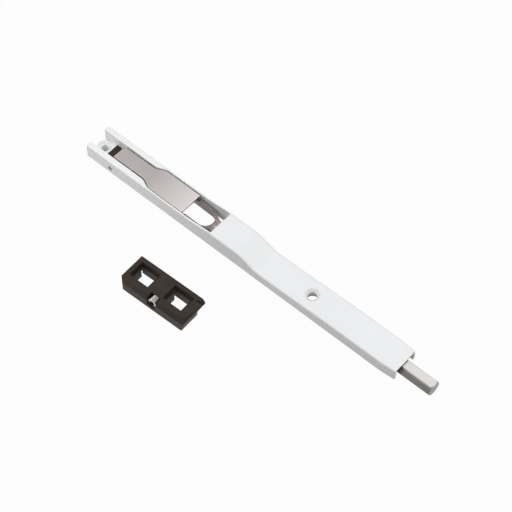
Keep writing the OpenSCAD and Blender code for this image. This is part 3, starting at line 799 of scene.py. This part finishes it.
class FLUSHBOLT_OT_pins(bpy.types.Operator):
    """Peen the ends of the lever's pivot, and finish the pins, clip and washers"""
    bl_idname = "flushbolt.pins"
    bl_label = "Pins and washers"

    def execute(self, context):
        sizes = context.scene.flush_bolt_sizes
        place = place_on("pivot_rivet", bpy.data.objects["painted_housing"])
        near = rivet("pivot_rivet_near", Vector((place.x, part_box("pivot_pin")[0].y, place.z)), sizes)
        far = near.copy()
        far.data = near.data.copy()
        far.name = "pivot_rivet_far"
        context.scene.collection.objects.link(far)
        edit_all(far, lambda: bpy.ops.transform.resize(value=(1, -1, 1), center_override=(0, 0, 0)),
                 lambda: bpy.ops.mesh.normals_make_consistent(inside=False))
        for piece in (near, far):
            belongs(piece, "housing_body", "bright_steel", "zinc_plate")
        for node in ("pivot_pin", "crank_pin", "link_pin", "rod_pin"):
            refinish(node, "bright_plate")
        refinish("link_clip", "phosphated_steel")
        refinish("pivot_washers", "natural_acetal")
        return {"FINISHED"}


class FLUSHBOLT_OT_guides(bpy.types.Operator):
    """Dress the guides and the detent spring"""
    bl_idname = "flushbolt.guides"
    bl_label = "Guides and spring"

    def execute(self, context):
        sizes = context.scene.flush_bolt_sizes
        dress("nose_guide", "rod_end_guide", "housing_body", "black_plastic", "matt_black_moulding",
              sizes.guide_edge)
        refinish("slide_guide", "matt_black_moulding")
        refinish("detent_spring", "zinc_plate")
        return {"FINISHED"}


class FLUSHBOLT_OT_keeper(bpy.types.Operator):
    """Dress the floor keeper and cut the thread of its set screw"""
    bl_idname = "flushbolt.keeper"
    bl_label = "Keeper and set screw"

    def execute(self, context):
        sizes = context.scene.flush_bolt_sizes
        dress("keeper", "floor_keeper", "keeper_body", "black_plastic", "matt_black_moulding",
              sizes.keeper_edge)
        screw = copied("keeper_screw", "set_screw")
        feed = next(joint for joint in frame["joints"] if joint["name"] == "set_screw_feed")
        cut_thread(screw, Vector(feed["axis"]), sizes)
        belongs(screw, "set_screw_body", "bright_steel", "bright_plate", "keeper_screw")
        return {"FINISHED"}


# ---- Studio -----------------------------------------------------------------------------------

def lamp(name, place, aim, size, power):
    """A white square area lamp that faces a point."""
    data = bpy.data.lights.new(name, "AREA")
    data.shape = "SQUARE"
    data.size = size
    data.energy = power
    made = bpy.data.objects.new(name, data)
    bpy.context.scene.collection.objects.link(made)
    made.location = place
    made.rotation_mode = "QUATERNION"
    made.rotation_quaternion = (Vector(aim) - Vector(place)).to_track_quat("-Z", "Y")


class FLUSHBOLT_OT_studio(bpy.types.Operator):
    """Set up the pale floor, the lamps, the surroundings and the camera"""
    bl_idname = "flushbolt.studio"
    bl_label = "Studio"

    def execute(self, context):
        studio = context.scene.flush_bolt_studio
        self.camera(context, studio)
        self.floor(context)
        middle = (cad_box[0] + cad_box[1]) / 2
        # The lamps overhead and behind stand at a distance, in metres, along a direction from the middle.
        lamp("key_lamp", place=middle + 0.75 * Vector((-0.37, 0.42, 0.83)), aim=middle, size=0.5,
             power=studio.key_power)
        lamp("fill_lamp", place=(-0.14, -0.22, 0.12), aim=(0, 0, 0), size=0.2, power=studio.fill_power)
        lamp("back_lamp", place=middle + 0.65 * Vector((0.48, 0.42, 0.76)), aim=middle, size=0.3,
             power=studio.back_power)
        self.surroundings(context, studio)
        context.scene.view_settings.view_transform = "Standard"
        return {"FINISHED"}

    def camera(self, context, studio):
        data = bpy.data.cameras.new("photo_camera")
        data.lens = studio.lens
        data.sensor_width = studio.sensor
        data.sensor_fit = "AUTO"
        data.clip_start = 0.01
        data.clip_end = 50
        camera = bpy.data.objects.new("photo_camera", data)
        context.scene.collection.objects.link(camera)
        turn, rise = studio.azimuth, studio.elevation
        back = Vector((math.sin(turn) * math.cos(rise), -math.cos(turn) * math.cos(rise), math.sin(rise)))
        right = Vector((0, 0, 1)).cross(back).normalized()
        up = back.cross(right)
        right, up = (right * math.cos(studio.roll) + up * math.sin(studio.roll),
                     up * math.cos(studio.roll) - right * math.sin(studio.roll))
        axes = Matrix((right, up, back)).transposed()
        camera.matrix_world = Matrix.Translation(Vector(studio.aim) + back * studio.distance) @ axes.to_4x4()
        context.scene.camera = camera
        context.view_layer.update()

    def floor(self, context):
        """A pale floor just under the bolt, nearly white to the camera, metal and glass, with the shadow."""
        under = 0.02 * MM
        white_share = 0.97
        bpy.ops.object.select_all(action="DESELECT")
        bpy.ops.mesh.primitive_plane_add(size=12, location=(0.1, 0, cad_box[0].z - under))
        floor = context.object
        floor.name = "studio_floor"
        finish = Finish("pale_floor")
        finish.surface(Base_Color=(*context.scene.flush_bolt_colours.floor, 1.0), Roughness=0.9)
        seen = finish.seen_by("Camera", "Glossy", "Transmission")
        white = finish.node("ShaderNodeEmission", {}, {"Color": (1, 1, 1, 1), "Strength": 1.0})
        lit = Wire(finish, finish.shader.outputs[0])
        shown = finish.node("ShaderNodeMixShader", {}, {0: seen * white_share, 1: lit, 2: white})
        finish.feed(finish.tree.nodes["Material Output"].inputs["Surface"], shown)
        floor.data.materials.append(finish.material)
        floor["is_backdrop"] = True

    def surroundings(self, context, studio):
        """White to the camera and glass. As light and in metal, dark low down and bright overhead."""
        world = bpy.data.worlds.new("studio_surroundings")
        context.scene.world = world
        world.use_nodes = True
        nodes = Nodes(world.node_tree)
        height = nodes.along("Z", nodes.node("ShaderNodeTexCoord", {}, {}, "Generated"))
        low = nodes.node("ShaderNodeMapRange", {},
                         {"Value": nodes.seen_by("Glossy"), "To Min": studio.horizon,
                          "To Max": studio.reflected_horizon})
        light = nodes.node("ShaderNodeMapRange", {"interpolation_type": "SMOOTHSTEP"},
                           {"Value": height, "From Min": 0.35, "From Max": 0.85, "To Min": low,
                            "To Max": studio.overhead})
        seen = nodes.seen_by("Camera", "Transmission")
        strength = nodes.node("ShaderNodeMapRange", {}, {"Value": seen, "To Min": light, "To Max": 1.0})
        background = world.node_tree.nodes["Background"]
        nodes.feed(background.inputs["Color"], (1, 1, 1, 1))
        nodes.feed(background.inputs["Strength"], strength)


class FLUSHBOLT_PT_build(bpy.types.Panel):
    """Buttons for each piece, with the sizes, colours and studio settings"""
    bl_idname = "FLUSHBOLT_PT_build"
    bl_label = "Flush bolt"
    bl_space_type = "VIEW_3D"
    bl_region_type = "UI"
    bl_category = "Flush bolt"

    def draw(self, context):
        for step in STEPS:
            self.layout.operator(step.bl_idname)
        for group_name in GROUPS:
            group = getattr(context.scene, group_name)
            box = self.layout.box()
            for name in group.bl_rna.properties.keys():
                if name not in ("rna_type", "name"):
                    box.prop(group, name)


STEPS = (FLUSHBOLT_OT_studio, FLUSHBOLT_OT_housing, FLUSHBOLT_OT_cover, FLUSHBOLT_OT_lever,
         FLUSHBOLT_OT_linkage, FLUSHBOLT_OT_pins, FLUSHBOLT_OT_guides, FLUSHBOLT_OT_keeper)
GROUPS = {"flush_bolt_sizes": FlushBoltSizes, "flush_bolt_colours": FlushBoltColours,
          "flush_bolt_studio": FlushBoltStudio}
CLASSES = (*GROUPS.values(), *STEPS, FLUSHBOLT_PT_build)


def register():
    for made in CLASSES:
        bpy.utils.register_class(made)
    for name, group in GROUPS.items():
        setattr(bpy.types.Scene, name, PointerProperty(type=group))


def unregister():
    for name in GROUPS:
        delattr(bpy.types.Scene, name)
    for made in reversed(CLASSES):
        bpy.utils.unregister_class(made)


def main():
    """Build everything in order."""
    register()
    bpy.ops.flushbolt.studio()
    bpy.ops.flushbolt.housing()
    bpy.ops.flushbolt.cover()
    bpy.ops.flushbolt.lever()
    bpy.ops.flushbolt.linkage()
    bpy.ops.flushbolt.pins()
    bpy.ops.flushbolt.guides()
    bpy.ops.flushbolt.keeper()
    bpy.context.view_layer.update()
    write_points()


if __name__ == "__main__":
    main()
